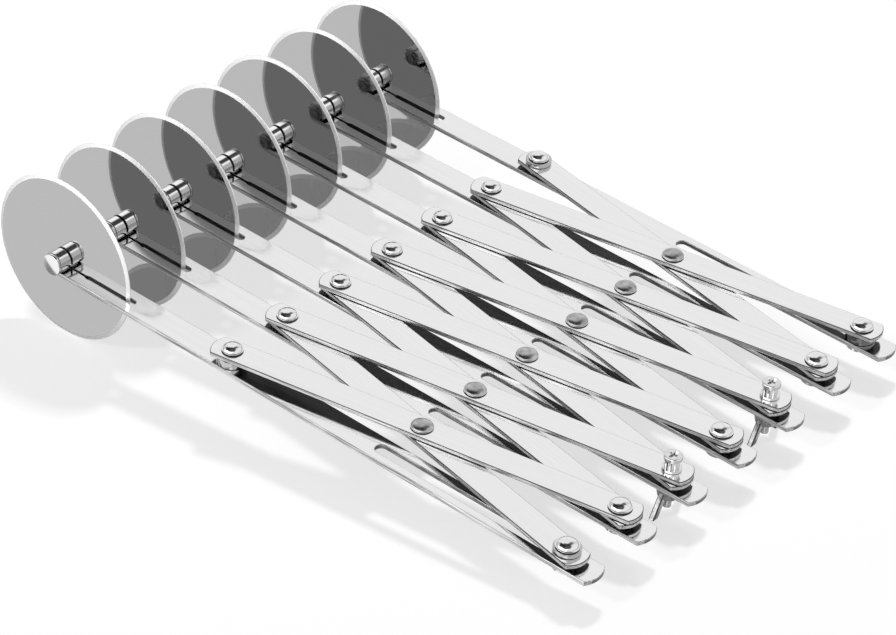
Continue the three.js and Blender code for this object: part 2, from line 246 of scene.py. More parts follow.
class Bench:
    """A mesh in the making, in millimetres."""

    def __init__(self) -> None:
        """Starts with nothing on the bench."""
        self.bm = bmesh.new()

    @classmethod
    def turned(cls, profile: Iterable[Point], steps: int) -> "Bench":
        """Turns a profile about the Z axis.

        Args:
            profile: Diameter and height of each corner, from low to high.
            steps: Number of facets round the piece.

        Returns:
            A bench with the turned piece.
        """
        bench = cls()
        bench.chain((diameter / 2, 0, height) for diameter, height in profile)
        spin(bench.bm, bench.bm.verts[:] + bench.bm.edges[:], (0, 0, 0), (0, 0, 1), FULL_TURN, steps)
        bench.tidy()
        return bench

    def chain(self, corners: Iterable[Sequence[float]]) -> list[BMVert]:
        """Adds an open chain of edges.

        Args:
            corners: The places that the chain runs through.

        Returns:
            The vertices of the chain.
        """
        verts = [self.bm.verts.new(corner) for corner in corners]
        for start, end in zip(verts, verts[1:]):
            self.bm.edges.new((start, end))
        return verts

    def tidy(self) -> None:
        """Merges doubled vertices and points all faces outwards."""
        bmesh.ops.remove_doubles(self.bm, verts=self.bm.verts[:], dist=MERGE_GAP)
        bmesh.ops.recalc_face_normals(self.bm, faces=self.bm.faces[:])

    def fill(self, edges: Sequence[BMEdge]) -> list[BMFace]:
        """Fills the flat area between closed outlines.

        Args:
            edges: The edges of the outlines.

        Returns:
            The faces of the filled area.
        """
        filled = bmesh.ops.triangle_fill(
            self.bm, use_beauty=True, use_dissolve=False, edges=edges, normal=Vector((0, 0, 1))
        )
        return [item for item in filled["geom"] if isinstance(item, BMFace)]

    def thicken(self, thickness: float) -> None:
        """Makes a plate of the outlines on the bench, downwards from z = 0.

        Args:
            thickness: Thickness of the plate.
        """
        faces = self.fill(self.bm.edges[:])
        grown = bmesh.ops.extrude_face_region(self.bm, geom=faces)
        verts = [item for item in grown["geom"] if isinstance(item, BMVert)]
        bmesh.ops.translate(self.bm, vec=(0, 0, -thickness), verts=verts)
        self.tidy()

    def soften(self, width: float, segments: int, over_degrees: float) -> None:
        """Rounds every edge sharper than an angle.

        Args:
            width: How far the rounding reaches from the edge.
            segments: Number of facets across the rounding.
            over_degrees: The least angle between the two faces of an edge that is rounded.
        """
        least = math.radians(over_degrees)
        sharp = [edge for edge in self.bm.edges if edge.calc_face_angle(0) > least]
        bmesh.ops.bevel(
            self.bm,
            geom=sharp,
            offset=width,
            offset_type="OFFSET",
            segments=segments,
            profile=0.5,
            affect="EDGES",
            material=-1,
            clamp_overlap=True,
        )

    def move(self, matrix: Matrix) -> "Bench":
        """Carries the whole mesh to another place and returns the bench."""
        bmesh.ops.transform(self.bm, matrix=matrix, verts=self.bm.verts[:])
        return self

    def unite(self, other: "Bench") -> None:
        """Joins the solid on another bench to the one on this bench.

        Args:
            other: The other bench, which is used up.
        """
        meshes = [bench.to_mesh("spare", sharp_degrees=180) for bench in (self, other)]
        spares = [bpy.data.objects.new("spare", mesh) for mesh in meshes]
        for spare in spares:
            bpy.context.scene.collection.objects.link(spare)
        joint = spares[0].modifiers.new("joint", "BOOLEAN")
        joint.operation = "UNION"
        joint.solver = "EXACT"
        joint.object = spares[1]
        joined = spares[0].evaluated_get(bpy.context.evaluated_depsgraph_get())
        self.bm = bmesh.new()
        self.bm.from_mesh(joined.to_mesh())
        for mesh in meshes:
            bpy.data.meshes.remove(mesh)

    def paint(self, kind: Callable[[BMFace], Face]) -> None:
        """Gives each face the material index of its kind."""
        for face in self.bm.faces:
            face.material_index = kind(face).value

    def to_mesh(self, name: str, sharp_degrees: float) -> bpy.types.Mesh:
        """Ends the work on the bench.

        Args:
            name: Name of the mesh.
            sharp_degrees: Edges with a larger angle between their faces stay crisp.

        Returns:
            The mesh, with smooth faces and crisp edges.
        """
        limit = math.radians(sharp_degrees)
        for face in self.bm.faces:
            face.smooth = True
        for edge in self.bm.edges:
            edge.smooth = edge.calc_face_angle(0) <= limit
        mesh = bpy.data.meshes.new(name)
        self.bm.to_mesh(mesh)
        self.bm.free()
        return mesh


class Outline:
    """A closed outline, drawn corner by corner at z = 0 on a bench."""

    def __init__(self, bench: Bench, start: Point) -> None:
        """Starts at a corner of the outline.

        Args:
            bench: The bench to draw on.
            start: The first corner.
        """
        self.bm = bench.bm
        self.first = self.bm.verts.new((*start, 0))
        self.last = self.first

    def line_to(self, *corners: Point) -> None:
        """Draws straight lines on from the last corner.

        Args:
            corners: The corners to draw through, in order.
        """
        for corner in corners:
            vert = self.bm.verts.new((*corner, 0))
            self.bm.edges.new((self.last, vert))
            self.last = vert

    def arc_about(self, centre: Point, degrees: float, steps: int) -> None:
        """Draws an arc from the last corner about a centre."""
        arc = spin(self.bm, [self.last], (*centre, 0), (0, 0, 1), math.radians(degrees), steps)
        self.last = next(item for item in arc["geom_last"] if isinstance(item, BMVert))

    def close(self) -> None:
        """Joins the last corner to the first."""
        self.bm.edges.new((self.last, self.first))


def add_hole(bench: Bench, centre: Point, radius: float, segments: int) -> None:
    """Adds the outline of a round hole to a bench."""
    place = Matrix.Translation((*centre, 0))
    bmesh.ops.create_circle(bench.bm, cap_ends=False, radius=radius, segments=segments, matrix=place)


def end_arc(half_width: float, radius: float) -> tuple[float, float]:
    """Works out the shallow arc across the end of a strip.

    Args:
        half_width: Half the width of the strip.
        radius: Radius of the arc.

    Returns:
        The angle of the arc in degrees, and its rise above its own chord.
    """
    half_angle = math.asin(half_width / radius)
    return math.degrees(2 * half_angle), radius * (1 - math.cos(half_angle))


def flat_face_kind(face: BMFace) -> Face:
    """Tells the kinds of surface of a flat strip apart.

    Args:
        face: A face of the strip.

    Returns:
        Its top, a sheared edge, its underside or a rounded corner.
    """
    slope = face.normal.z
    if abs(slope) < EDGE_SLOPE:
        return Face.EDGE
    if abs(slope) < FLAT_SLOPE:
        return Face.CORNER
    return Face.BROAD if slope > 0 else Face.UNDER


def dome(diameter: float, rise: float, bottom: float, steps: int) -> list[Point]:
    """Draws the profile of a dome.

    Args:
        diameter: Diameter of its lower edge.
        rise: Height of the dome above that edge.
        bottom: Height of the edge.
        steps: Number of facets up to the axis.

    Returns:
        The corners, from the lower edge up to the axis.
    """
    angles = [step * math.pi / 2 / steps for step in range(steps)]
    arc = [(diameter * math.cos(angle), bottom + rise * math.sin(angle)) for angle in angles]
    return [*arc, (0, bottom + rise)]


def shoulder(shank: float, collar: float, layers: Layers) -> list[Point]:
    """Profile of the collar on a shank that keeps the lower link off the bar."""
    top = layers.play + layers.collar
    return [(shank, layers.play), (collar, layers.play), (collar, top), (shank, top)]


# Finishes


class NodeSheet:
    """The shader nodes of one material or of the world."""

    def __init__(self, owner: bpy.types.Material | bpy.types.World) -> None:
        """Clears the owner's nodes.

        Args:
            owner: The material or the world.
        """
        owner.use_nodes = True
        self.tree = owner.node_tree
        self.tree.nodes.clear()

    def add(self, kind: str, inputs: dict[str, Any] | None = None, **settings: Any) -> bpy.types.Node:
        """Adds a node.

        Args:
            kind: The node's type, without the common ShaderNode prefix.
            inputs: A value, or the socket to link, for each input by name.
            settings: Properties of the node.

        Returns:
            The new node.
        """
        node = self.tree.nodes.new(f"ShaderNode{kind}")
        for name, value in settings.items():
            setattr(node, name, value)
        for name, value in (inputs or {}).items():
            self.link([value], [node.inputs[name]])
        return node

    def link(self, values: Sequence[Any], sockets: Sequence[bpy.types.NodeSocket]) -> None:
        """Links or sets sockets, in their order.

        Args:
            values: Another socket or a plain value for each socket.
            sockets: The sockets to link or set.
        """
        for value, socket in zip(values, sockets):
            if isinstance(value, bpy.types.NodeSocket):
                self.tree.links.new(value, socket)
            else:
                socket.default_value = value

    def math(self, operation: str, *values: Any) -> bpy.types.NodeSocket:
        """Adds a math node.

        Args:
            operation: What the node works out.
            values: Its inputs in order, each a socket or a plain value.

        Returns:
            The socket of its result.
        """
        node = self.add("Math", operation=operation)
        self.link(values, node.inputs)
        return node.outputs[0]

    def noise(self, vector: bpy.types.NodeSocket, scale: float, detail: float) -> bpy.types.NodeSocket:
        """Adds a noise in space and returns its value."""
        return self.add("TexNoise", {"Vector": vector, "Scale": scale, "Detail": detail}).outputs[0]

    def ramp(self, value: Any, start: float, end: float, low: Any, high: Any) -> bpy.types.NodeSocket:
        """Maps a value smoothly from one range to another.

        Args:
            value: The value to map.
            start: Start of its range.
            end: End of its range.
            low: What the start becomes.
            high: What the end becomes.

        Returns:
            The socket of the mapped value.
        """
        node = self.add("MapRange", interpolation_type="SMOOTHSTEP")
        self.link((value, start, end, low, high), node.inputs)
        return node.outputs[0]

    def facing(self, vector: bpy.types.NodeSocket, direction: Vector) -> bpy.types.NodeSocket:
        """Tells how far a vector agrees with a direction.

        Args:
            vector: A vector of length one.
            direction: The direction to hold it against.

        Returns:
            The socket of a value from minus one to one.
        """
        node = self.add("VectorMath", operation="DOT_PRODUCT")
        self.link((vector, direction), node.inputs)
        return node.outputs["Value"]

    def choose(self, factor: bpy.types.NodeSocket, other: Any, chosen: Any) -> bpy.types.NodeSocket:
        """Gives the chosen value where a factor is one, and the other where it is zero."""
        return self.ramp(factor, 0.0, 1.0, other, chosen)


@dataclass(frozen=True)
class SteelFinish:
    """A bare steel surface, or a copy of one painted darker or lighter as painted shade or highlight: its
    grey, its gloss and the fine marks on it, in millimetres.
    """

    name: str
    grey: float
    grey_depth: float
    roughness: float
    roughness_depth: float
    grain: Grain
    mark_width: float
    mark_length: float
    relief: float

    def material(self, lay: Matrix, suffix: str = "") -> bpy.types.Material:
        """Makes the finish, or finds it if it is made.

        Args:
            lay: The turn, and for rings the centre, of the marks in the frame.
            suffix: Tells apart the same finish with its marks laid another way.

        Returns:
            The material.
        """
        name = self.name + suffix
        made = bpy.data.materials.get(name)
        if made:
            return made
        material = bpy.data.materials.new(name)
        sheet = NodeSheet(material)
        marks = self.marks(sheet, lay)
        grey = sheet.ramp(marks, *NOISE_RANGE, self.grey - self.grey_depth, self.grey + self.grey_depth)
        color = sheet.add("CombineColor", {"Red": grey, "Green": grey, "Blue": grey})
        smudge = sheet.noise(self.place(sheet), SMUDGE_SCALE, SMUDGE_DETAIL)
        gloss = sheet.math("MULTIPLY", sheet.math("ADD", marks, smudge), 0.5)
        low = self.roughness - self.roughness_depth
        rough = sheet.ramp(gloss, *NOISE_RANGE, low, self.roughness + self.roughness_depth)
        bump = sheet.add("Bump", {"Strength": 1.0, "Distance": self.relief * MM, "Height": marks})
        shader = sheet.add("BsdfPrincipled", {
            "Base Color": color.outputs[0],
            "Metallic": 1.0,
            "Roughness": rough,
            "Normal": bump.outputs[0],
        })
        sheet.add("OutputMaterial", {"Surface": shader.outputs[0]})
        return material

    @staticmethod
    def place(sheet: NodeSheet) -> bpy.types.NodeSocket:
        """Coordinates fixed to the piece."""
        return sheet.add("TexCoord").outputs["Object"]

    def marks(self, sheet: NodeSheet, lay: Matrix) -> bpy.types.NodeSocket:
        """The fine marks, as a noise value.

        Args:
            sheet: The material's nodes.
            lay: The turn and centre of the marks.

        Returns:
            The socket of the noise value.
        """
        width = self.mark_width * MM
        length = self.mark_length * MM
        scale = (width, length, width) if self.grain is Grain.STREAKS else (width, width, width)
        mapping = sheet.add("Mapping", {
            "Vector": self.place(sheet),
            "Location": lay.to_translation() if self.grain is Grain.RINGS else (0, 0, 0),
            "Rotation": lay.to_euler() if self.grain is Grain.STREAKS else (0, 0, 0),
            "Scale": scale,
        }, vector_type="TEXTURE")
        vector = mapping.outputs[0]
        if self.grain is Grain.RINGS:
            parts = sheet.add("SeparateXYZ", {"Vector": vector})
            flat = sheet.add("CombineXYZ", {"Y": parts.outputs["Y"], "Z": parts.outputs["Z"]})
            ring = sheet.add("VectorMath", operation="LENGTH")
            sheet.link([flat.outputs[0]], ring.inputs)
            rings = {"W": ring.outputs["Value"], "Scale": 1.0, "Detail": RING_DETAIL}
            return sheet.add("TexNoise", rings, noise_dimensions="1D").outputs[0]
        return sheet.noise(vector, 1.0, MARK_DETAIL)


STRIP_FACE = SteelFinish("strip_face", 0.81, 0.014, 0.12, 0.03, Grain.STREAKS, 0.5, 60.0, 0.0003)
STRIP_EDGE = SteelFinish("strip_edge", 0.6, 0.37, 0.4, 0.1, Grain.STREAKS, 0.3, 14.0, 0.03)
# Painted shade: a dark grey for the walls of the slots in the bars, where they lie in shade.
PAINTED_SHADE_WALL = SteelFinish("painted_shade_wall", 0.22, 0.14, 0.3, 0.08, Grain.STREAKS, 0.25, 4.0, 0.02)
# A lighter copy of the strip steel for the rolled eyes, making them show brighter than the bar: a painted
# highlight.
ROLLED_EYE_AND_HIGHLIGHT = SteelFinish("rolled_eye_and_highlight", 0.95, 0.02, 0.1, 0.03, Grain.STREAKS, 0.3, 20.0, 0.001)
# Painted shade: a near black grey for the undersides of the strips and the walls under the rivet heads,
# so that the gaps between the layers show dark.
PAINTED_SHADE_UNDER = SteelFinish("painted_shade_under", 0.1, 0.03, 0.45, 0.05, Grain.STREAKS, 0.5, 60.0, 0.0006)
# Painted shade: a near black grey for the rounded corners of the links and the wing outlines of the nuts,
# drawn as dark lines along their edges.
PAINTED_SHADE_CORNER = SteelFinish("painted_shade_corner", 0.08, 0.04, 0.3, 0.05, Grain.STREAKS, 0.25, 9.0, 0.005)
WHEEL_FACE = SteelFinish("wheel_face", 0.41, 0.004, 0.03, 0.015, Grain.RINGS, 0.6, 0.6, 0.0)
# The ground bevel of the wheels, rougher and given a near white grey for the bright band round the rim: a
# ground finish with a painted highlight.
WHEEL_EDGE_AND_HIGHLIGHT = SteelFinish("wheel_edge_and_highlight", 0.94, 0.04, 0.5, 0.06, Grain.RINGS, 0.25, 0.25, 0.0006)
# The back faces of the wheels take their own grey, set for how light they show mirrored in the next
# wheel: a painted reflection.
WHEEL_BACK = SteelFinish("wheel_back", 0.44, 0.004, 0.03, 0.015, Grain.RINGS, 0.6, 0.6, 0.0)
BRIGHT_RIVET = SteelFinish("bright_rivet", 0.78, 0.03, 0.08, 0.03, Grain.SPECKS, 1.2, 1.2, 0.002)
TUMBLED_RIVET = SteelFinish("tumbled_rivet", 0.42, 0.1, 0.26, 0.06, Grain.SPECKS, 1.8, 1.8, 0.06)
TURNED_PIN = SteelFinish("turned_pin", 0.77, 0.04, 0.1, 0.04, Grain.RINGS, 0.3, 0.3, 0.001)
TURNED_RING = SteelFinish("turned_ring", 0.49, 0.04, 0.12, 0.04, Grain.SPECKS, 0.6, 0.6, 0.001)
# Painted shade: a dark grey for the rolled ends of the axles and the last rear spacer, which show in
# shade.
SHADED_RING = SteelFinish("shaded_ring", 0.17, 0.04, 0.2, 0.05, Grain.SPECKS, 0.6, 0.6, 0.001)
SCREW_STEEL = SteelFinish("plated_screw", 0.7, 0.05, 0.12, 0.05, Grain.SPECKS, 0.7, 0.7, 0.003)
# The grey of the pressed wing nuts, also used as painted shade on the screw tails under the bars.
PRESSED_NUT_AND_SHADE = SteelFinish("pressed_nut_and_shade", 0.53, 0.14, 0.22, 0.06, Grain.SPECKS, 0.8, 0.8, 0.02)
# The undersides and slot walls of the bars take painted shade.
BAR_FINISHES = (STRIP_FACE, STRIP_EDGE, PAINTED_SHADE_UNDER, STRIP_EDGE, PAINTED_SHADE_WALL, ROLLED_EYE_AND_HIGHLIGHT)
LINK_FINISHES = (STRIP_FACE, STRIP_EDGE, PAINTED_SHADE_UNDER, PAINTED_SHADE_CORNER)
WHEEL_FINISHES = (WHEEL_FACE, WHEEL_EDGE_AND_HIGHLIGHT, WHEEL_BACK)
RIVET_FINISHES = (BRIGHT_RIVET, BRIGHT_RIVET, PAINTED_SHADE_UNDER)
# The lips of the crossing rivets take the bright rivet steel for their thin bright rim: a painted
# highlight.
CROSS_FINISHES = (TUMBLED_RIVET, BRIGHT_RIVET, PAINTED_SHADE_UNDER)


# Delivery


@dataclass(frozen=True)
class Workshop:
    """Carries finished meshes into the frame and dresses them."""

    linkage: Linkage
    layers: Layers

    def lay(self, place: Matrix) -> Matrix:
        """The turn and place of a piece in the frame, without its scale."""
        location, rotation, _ = (self.linkage.to_frame @ place).decompose()
        return Matrix.LocRotScale(location, rotation, None)

    def deliver(
        self,
        bench: Bench,
        name: str,
        place: Matrix,
        body: str,
        node: str,
        finishes: Sequence[SteelFinish],
        suffix: str = "",
        sharp_degrees: float = 20.0,
    ) -> bpy.types.Object:
        """Makes a piece of the mesh on a bench.

        Args:
            bench: The finished mesh, in its own place.
            name: Name of the piece.
            place: The piece's place in the level of the bars.
            body: Body of the frame that the piece rides on.
            node: CAD node that the piece stands for.
            finishes: The finish of each material index.
            suffix: Tells apart finishes whose marks lie another way.
            sharp_degrees: Edges with a larger angle between their faces stay crisp.

        Returns:
            The piece.
        """
        bench.move(self.linkage.to_frame @ place)
        mesh = bench.to_mesh(name, sharp_degrees)
        lay = self.lay(place)
        for finish in finishes:
            mesh.materials.append(finish.material(lay, suffix))
        piece = bpy.data.objects.new(name, mesh)
        bpy.context.scene.collection.objects.link(piece)
        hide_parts(node)
        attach(piece, body)
        LOG.info("%s: %d faces on %s", name, len(mesh.polygons), body)
        return piece


# Sub-assemblies


@dataclass(frozen=True)
class WheelBars:
    """The seven flat bars, each forked round its wheel and rolled into two eyes at the front."""

    width: float = 9.6
    tail: float = 10.0
    end_radius: float = 8.0
    eye_wrap: float = 288.0
    eye_steps: int = 32
    wheel_slot_width: float = 2.5
    wheel_slot_length: float = 29.5
    slit_width: float = 1.6
    slit_length: float = 9.0
    guide_width: float = 4.0
    hole_diameter: float = 3.9
    edge_rounding: float = 0.2
    arc_steps: int = 16

    def build(self, shop: Workshop) -> None:
        """Makes and dresses all bars.

        Args:
            shop: Carries the bars into the frame.
        """
        for number in BAR_NUMBERS:
            place = shop.linkage.front_pin(number)
            bench = self.strip(shop.linkage, shop.layers)
            shop.deliver(bench, f"bar_strip_{number}", place, f"bar_{number}", f"wheel_bar_{number}",
                         BAR_FINISHES, "_bar")

    def strip(self, linkage: Linkage, layers: Layers) -> Bench:
        """Cuts one bar in plan, rolls its eyes and rounds its edges.

        Args:
            linkage: Places of the pins and the axle.
            layers: Thickness of the bar.

        Returns:
            A bench with the bar.
        """
        bench = Bench()
        self.draw_plan(bench, linkage)
        self.draw_guide(bench, linkage)
        add_hole(bench, (0, 0), self.hole_diameter / 2, 2 * self.arc_steps)
        bench.thicken(layers.bar)
        self.roll_eyes(bench, linkage)
        bench.soften(self.edge_rounding, segments=2, over_degrees=50)
        bench.paint(lambda face: self.face_kind(face, linkage.axle_reach))
        return bench

    def draw_plan(self, bench: Bench, linkage: Linkage) -> None:
        """Draws the outside of the bar with its fork, as far forward as the axle.

        Args:
            bench: The bench to draw on.
            linkage: Place of the axle and reach of the rear pin.
        """
        half = self.width / 2
        slit = self.slit_width / 2
        slot = self.wheel_slot_width / 2
        front = linkage.axle_reach
        neck = front - self.slit_length
        slot_centre = front - self.wheel_slot_length + slot
        degrees, rise = end_arc(half, self.end_radius)
        tip = -linkage.reach_at(linkage.closest_pitch) - self.tail
        corner = tip + rise
        outline = Outline(bench, (-half, corner))
        outline.arc_about((0, tip + self.end_radius), degrees, self.arc_steps)
        outline.line_to((half, front), (slit, front), (slit, neck))
        outline.line_to((slot, neck - slot), (slot, slot_centre))
        outline.arc_about((0, slot_centre), -180, self.arc_steps)
        outline.line_to((-slot, neck - slot), (-slit, neck), (-slit, front), (-half, front))
        outline.close()

    def draw_guide(self, bench: Bench, linkage: Linkage) -> None:
        """Draws the long slot that the rear pin slides in.

        Args:
            bench: The bench to draw on.
            linkage: Reach of the rear pin.
        """
        half = self.guide_width / 2
        front = -linkage.reach_at(linkage.widest_pitch)
        rear = -linkage.reach_at(linkage.closest_pitch)
        outline = Outline(bench, (half, front))
        outline.arc_about((0, front), 180, self.arc_steps)
        outline.line_to((-half, rear))
        outline.arc_about((0, rear), 180, self.arc_steps)
        outline.close()

    def roll_eyes(self, bench: Bench, linkage: Linkage) -> None:
        """Rolls the end of each prong round the axle.

        Args:
            bench: The bench with the flat bar.
            linkage: Place of the axle.
        """
        front = linkage.axle_reach
        centre = (0, front, linkage.axle_height)
        wrap = math.radians(self.eye_wrap)
        ends = [
            face for face in bench.bm.faces
            if all(abs(vert.co.y - front) < MERGE_GAP for vert in face.verts)
        ]
        for face in ends:
            spin(bench.bm, [face, *face.edges, *face.verts], centre, (1, 0, 0), wrap, self.eye_steps)
        bench.tidy()

    def face_kind(self, face: BMFace, axle_reach: float) -> Face:
        """Tells the kinds of surface of a bar apart.

        Args:
            face: A face of the bar.
            axle_reach: Where the rolled eyes begin.

        Returns:
            A kind of the flat strip, a slot wall, or an edge, a corner or a face of a rolled eye.
        """
        centre = face.calc_center_median()
        if centre.y < axle_reach and centre.z < self.edge_rounding:
            kind = flat_face_kind(face)
            # Slot walls take the dark painted shade.
            return Face.WALL if kind is Face.EDGE and abs(centre.x) < self.width / 4 else kind
        if abs(face.normal.x) > FLAT_SLOPE:
            return Face.EDGE
        return Face.CORNER if abs(face.normal.x) > EDGE_SLOPE else Face.EYE


@dataclass(frozen=True)
class LinkStrips:
    """The crossed links of the lazy tongs, in an upper and a lower layer."""

    width: float = 9.2
    overhang: float = 6.5
    end_radius: float = 7.0
    hole_diameter: float = 3.9
    edge_rounding: float = 0.2
    arc_steps: int = 16

    def build(self, shop: Workshop) -> None:
        """Makes and dresses all links.

        Args:
            shop: Carries the links into the frame.
        """
        linkage = shop.linkage
        layers = shop.layers
        for number in LINK_NUMBERS:
            for layer, place, bottom in (
                ("upper", linkage.upper_link(number), layers.upper_link),
                ("lower", linkage.lower_link(number), layers.lower_link),
            ):
                bench = self.strip(linkage.span, layers.link)
                bench.move(Matrix.Translation((0, 0, bottom + layers.link)))
                shop.deliver(bench, f"{layer}_strip_{number}", place, f"{layer}_{number}",
                             f"{layer}_link_{number}", LINK_FINISHES, f"_{layer}")

    def strip(self, span: float, thickness: float) -> Bench:
        """Cuts one link, along -Y from its front hole.

        Args:
            span: Distance between the end holes.
            thickness: Thickness of the strip.

        Returns:
            A bench with the link, its top at z = 0.
        """
        half = self.width / 2
        degrees, rise = end_arc(half, self.end_radius)
        front = self.overhang
        rear = -span - self.overhang
        bench = Bench()
        outline = Outline(bench, (-half, rear + rise))
        outline.arc_about((0, rear + self.end_radius), degrees, self.arc_steps)
        outline.line_to((half, front - rise))
        outline.arc_about((0, front - self.end_radius), degrees, self.arc_steps)
        outline.close()
        for centre in (0, -span / 2, -span):
            add_hole(bench, (0, centre), self.hole_diameter / 2, 2 * self.arc_steps)
        bench.thicken(thickness)
        bench.soften(self.edge_rounding, segments=2, over_degrees=50)
        # The rounded corners of a link take the dark painted shade of the corner finish.
        bench.paint(flat_face_kind)
        return bench


@dataclass(frozen=True)
class CuttingWheels:
    """The seven polished discs with their ground edges."""

    diameter: float = 55.0
    thickness: float = 1.0
    edge_thickness: float = 0.3
    bevel: float = 1.3
    bore: float = 4.1
    steps: int = 160

    def build(self, shop: Workshop) -> None:
        """Makes and dresses all wheels.

        Args:
            shop: Carries the wheels into the frame.
        """
        for number in BAR_NUMBERS:
            bench = self.disc()
            shop.deliver(bench, f"wheel_disc_{number}", shop.linkage.axle(number), f"wheel_{number}",
                         f"cutting_wheel_{number}", WHEEL_FINISHES, sharp_degrees=6.0)

    def disc(self) -> Bench:
        """Turns one disc.

        Returns:
            A bench with the disc.
        """
        half = self.thickness / 2
        half_edge = self.edge_thickness / 2
        flat = self.diameter - 2 * self.bevel
        profile = [
            (self.bore, -half),
            (flat, -half),
            (self.diameter - half_edge, -half_edge),
            (self.diameter, -half_edge / 2),
            (self.diameter, half_edge / 2),
            (self.diameter - half_edge, half_edge),
            (flat, half),
            (self.bore, half),
            (self.bore, -half),
        ]
        bench = Bench.turned(profile, self.steps)
        bench.paint(lambda face: self.face_kind(face, flat))
        return bench

    @staticmethod
    def face_kind(face: BMFace, flat: float) -> Face:
        """Tells the kinds of surface of a disc apart.

        Args:
            face: A face of the disc.
            flat: Diameter where the ground edge begins.

        Returns:
            The ground edge, the back or the front.
        """
        if 2 * face.calc_center_median().xy.length > flat:
            return Face.EDGE
        return Face.UNDER if face.normal.z > FLAT_SLOPE else Face.BROAD


@dataclass(frozen=True)
class WheelAxles:
    """The pins in the rolled eyes, each with a cap at one end and a rolled end at the other."""

    pin_diameter: float = 3.8
    seat: float = 4.9
    cap_diameter: float = 7.0
    cap_height: float = 1.0
    rivet_diameter: float = 5.4
    rivet_height: float = 0.7
    dimple_diameter: float = 2.4
    dimple_depth: float = 0.4
    rounding: float = 0.2
    steps: int = 48

    def build(self, shop: Workshop) -> None:
        """Makes and dresses all axles.

        Args:
            shop: Carries the axles into the frame.
        """
        for number in BAR_NUMBERS:
            shop.deliver(self.pin(), f"axle_pin_{number}", shop.linkage.axle(number), f"bar_{number}",
                         f"wheel_axle_{number}", (TURNED_PIN, SHADED_RING))

    def pin(self) -> Bench:
        """Turns one axle and paints its rolled end dark, as painted shade for its reflection in the next
        wheel.

        Returns:
            A bench with the axle.
        """
        cap_end = -self.seat - self.cap_height
        rivet_end = self.seat + self.rivet_height
        profile = [
            (0, cap_end),
            (self.cap_diameter, cap_end),
            (self.cap_diameter, -self.seat),
            (self.pin_diameter, -self.seat),
            (self.pin_diameter, self.seat),
            (self.rivet_diameter, self.seat),
            ((self.rivet_diameter + self.dimple_diameter) / 2, rivet_end),
            (self.dimple_diameter, rivet_end),
            (0, rivet_end - self.dimple_depth),
        ]
        bench = Bench.turned(profile, self.steps)
        bench.soften(self.rounding, segments=3, over_degrees=25)
        bench.paint(lambda face: Face.EDGE if face.calc_center_median().z > self.seat else Face.BROAD)
        return bench


@dataclass(frozen=True)
class Rivet:
    """One kind of rivet, with a domed head above the links and a flat foot."""

    head_diameter: float
    head_height: float
    foot_diameter: float
    foot_height: float
    shank_diameter: float = 3.6
    collar_diameter: float = 6.4
    lip_height: float = 0.45
    lip_width: float = 0.4
    rounding: float = 0.12
    dome_steps: int = 10
    steps: int = 48

    def turn(self, layers: Layers, foot_top: float, has_collar: bool) -> Bench:
        """Turns the rivet.

        Args:
            layers: Heights of the layers that it holds.
            foot_top: Seat of its foot.
            has_collar: True where a collar keeps the lower link off the bar.

        Returns:
            A bench with the rivet.
        """
        foot_bottom = foot_top - self.foot_height
        lip_top = layers.head + self.lip_height
        rise = self.head_height - self.lip_height
        collar = shoulder(self.shank_diameter, self.collar_diameter, layers) if has_collar else []
        profile = [
            (0, foot_bottom),
            (self.foot_diameter, foot_bottom),
            (self.foot_diameter, foot_top),
            (self.shank_diameter, foot_top),
            *collar,
            (self.shank_diameter, layers.head),
            (self.head_diameter, layers.head),
            (self.head_diameter, lip_top),
            *dome(self.head_diameter - 2 * self.lip_width, rise, lip_top, self.dome_steps),
        ]
        bench = Bench.turned(profile, self.steps)
        bench.soften(self.rounding, segments=2, over_degrees=40)
        bench.paint(lambda face: self.face_kind(face, layers.head))
        return bench

    def face_kind(self, face: BMFace, seat: float) -> Face:
        """Tells the wall of a head, painted dark as the shade line under it, and the lip on that wall
        from the rest.

        Args:
            face: A face of the rivet.
            seat: Height of the seat of its head.

        Returns:
            The kind of the wall, of the lip or of the rest.
        """
        centre = face.calc_center_median()
        height = centre.z - seat
        # The wall below the lip takes the painted shade of the undersides.
        if 0 < height < self.lip_height - self.rounding and abs(face.normal.z) < FLAT_SLOPE:
            return Face.UNDER
        on_lip = height > 0 and centre.xy.length > self.head_diameter / 2 - self.lip_width
        return Face.EDGE if on_lip else Face.BROAD


@dataclass(frozen=True)
class Rivets:
    """All rivets of the linkage: front pivots, crossings and rear pins."""

    front: Rivet = Rivet(6.6, 1.9, 6.6, 1.0)
    cross: Rivet = Rivet(7.0, 1.4, 5.4, 0.6, lip_height=0.3, lip_width=0.2)
    rear: Rivet = Rivet(7.2, 2.0, 8.0, 1.3)

    def build(self, shop: Workshop) -> None:
        """Makes and dresses all rivets.

        Args:
            shop: Carries the rivets into the frame.
        """
        layers = shop.layers
        for number in BAR_NUMBERS:
            bench = self.front.turn(layers, layers.foot, number > 1)
            shop.deliver(bench, f"front_dome_{number}", shop.linkage.front_pin(number), f"bar_{number}",
                         f"front_rivet_{number}", RIVET_FINISHES)
            if number not in CLAMP_BARS:
                bench = self.rear.turn(layers, layers.foot, number < BAR_COUNT)
                place = shop.linkage.rear_pin(number)
                shop.deliver(bench, f"rear_dome_{number}", place, rear_pin_body(number),
                             f"rear_rivet_{number}", RIVET_FINISHES)
        for number in LINK_NUMBERS:
            bench = self.cross.turn(layers, layers.lower_link - layers.play, False)
            shop.deliver(bench, f"cross_dome_{number}", shop.linkage.crossing(number), f"upper_{number}",
                         f"cross_rivet_{number}", CROSS_FINISHES)


def rear_pin_body(number: int) -> str:
    """Name of the body that carries a rear pin."""
    return f"upper_{number - 1}" if number > 1 else "lower_1"


